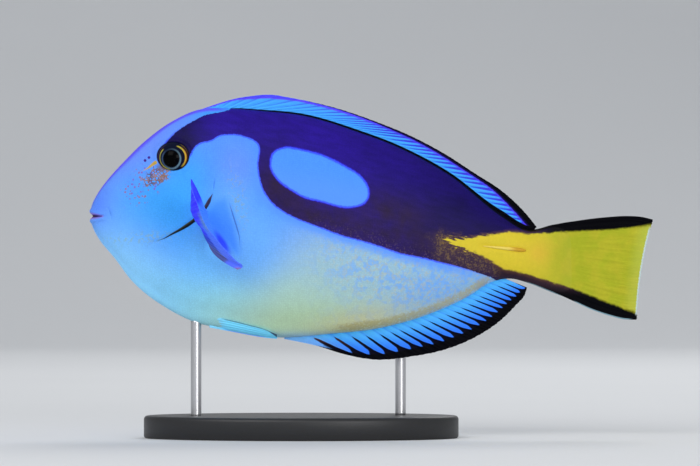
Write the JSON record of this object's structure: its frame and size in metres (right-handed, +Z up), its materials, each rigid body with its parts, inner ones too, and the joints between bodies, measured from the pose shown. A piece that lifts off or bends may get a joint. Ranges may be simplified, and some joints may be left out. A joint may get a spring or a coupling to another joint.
{
  "type": "regal blue tang fish model",
  "caption": "Life-size regal blue tang, a deep flat reef fish with long back and belly fins and a yellow tail, on an oval stand with rods.",
  "frame": {"origin": "on the surface the stand rests on, under the middle of the whole model", "axes": "+X from the snout to the tail, the left flank faces -Y, +Z up"},
  "size_m": [0.2002, 0.0864, 0.1229],
  "materials": {
    "skin": "wet, finely scaled skin, sky blue with an indigo mask",
    "skin_yellow": "wet, finely scaled skin, yellow between indigo edges",
    "eye": "glossy, black pupil in a grey-blue and a yellow ring",
    "fin_blue": "satin, azure with darker rays and margin",
    "fin_yellow": "satin, yellow with black upper and lower edges",
    "spine": "smooth, pale orange",
    "stand_base": "satin black",
    "stand_rod": "brushed"
  },
  "bodies": {
    "root": {"head": "skin", "trunk": "skin", "tail_stalk": "skin_yellow", "eye_left": "eye", "eye_right": "eye", "dorsal_fin": "fin_blue", "anal_fin": "fin_blue", "caudal_fin": "fin_yellow", "pectoral_fin_left": "fin_blue", "pectoral_fin_right": "fin_blue", "pelvic_fin_left": "fin_blue", "pelvic_fin_right": "fin_blue", "tail_spine_left": "spine", "tail_spine_right": "spine", "stand_base": "stand_base", "stand_rod_front": "stand_rod", "stand_rod_rear": "stand_rod"}
  },
  "joints": []
}
